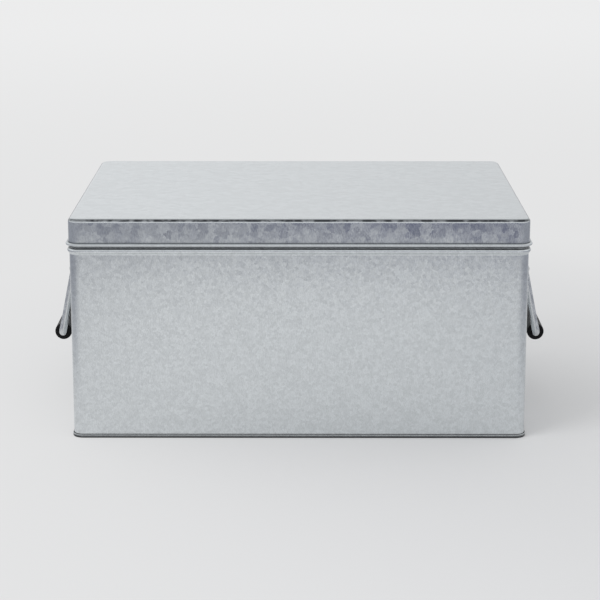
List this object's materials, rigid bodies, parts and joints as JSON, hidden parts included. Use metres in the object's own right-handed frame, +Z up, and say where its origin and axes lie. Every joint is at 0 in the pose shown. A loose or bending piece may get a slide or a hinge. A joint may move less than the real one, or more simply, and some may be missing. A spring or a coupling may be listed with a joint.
{
  "type": "metal storage box",
  "caption": "Rectangular galvanised sheet-steel storage box with rounded corners, a lift-off lid with a rolled hem, and a drop handle with a black grip on each short end.",
  "frame": {"origin": "under the middle of the box, on the surface that it stands on", "axes": "+X along the long side to the right, +Y away from the front, +Z up"},
  "size_m": [0.5688, 0.3776, 0.247],
  "materials": {
    "wall_sheet": "galvanised sheet, fine spangle, satin",
    "lid_sheet": "galvanised sheet, visible spangle, satin",
    "rod_steel": "galvanised drawn rod, satin",
    "ear_steel": "galvanised pressed plate, satin",
    "rivet_steel": "zinc-plated steel, satin",
    "grip_black": "black, satin"
  },
  "bodies": {
    "box": {"body_wall": "wall_sheet", "body_bottom": "wall_sheet", "left_backing_strip": "ear_steel", "left_front_ear": "ear_steel", "left_front_rivets": "rivet_steel", "left_rear_ear": "ear_steel", "left_rear_rivets": "rivet_steel", "right_backing_strip": "ear_steel", "right_front_ear": "ear_steel", "right_front_rivets": "rivet_steel", "right_rear_ear": "ear_steel", "right_rear_rivets": "rivet_steel"},
    "lid": {"lid_pan": "lid_sheet", "lid_rim_wire": "rod_steel"},
    "left_bail": {"left_bail": "rod_steel"},
    "left_grip": {"left_grip": "grip_black"},
    "right_bail": {"right_bail": "rod_steel"},
    "right_grip": {"right_grip": "grip_black"}
  },
  "joints": [
    {"name": "lid_lift", "type": "slide", "parent": "box", "child": "lid", "axis": [0, 0, 1], "range_m": [0, 0.3]},
    {"name": "left_handle_swing", "type": "hinge", "parent": "box", "child": "left_bail", "pos_m": [-0.2595, 0, 0.1626], "axis": [0, 1, 0], "range_deg": [0, 165]},
    {"name": "left_grip_spin", "type": "hinge", "parent": "left_bail", "child": "left_grip", "pos_m": [-0.27474, 0, 0.08702], "axis": [0, 1, 0], "continuous": true},
    {"name": "right_handle_swing", "type": "hinge", "parent": "box", "child": "right_bail", "pos_m": [0.2595, 0, 0.1626], "axis": [0, -1, 0], "range_deg": [0, 165]},
    {"name": "right_grip_spin", "type": "hinge", "parent": "right_bail", "child": "right_grip", "pos_m": [0.27474, 0, 0.08702], "axis": [0, 1, 0], "continuous": true}
  ]
}
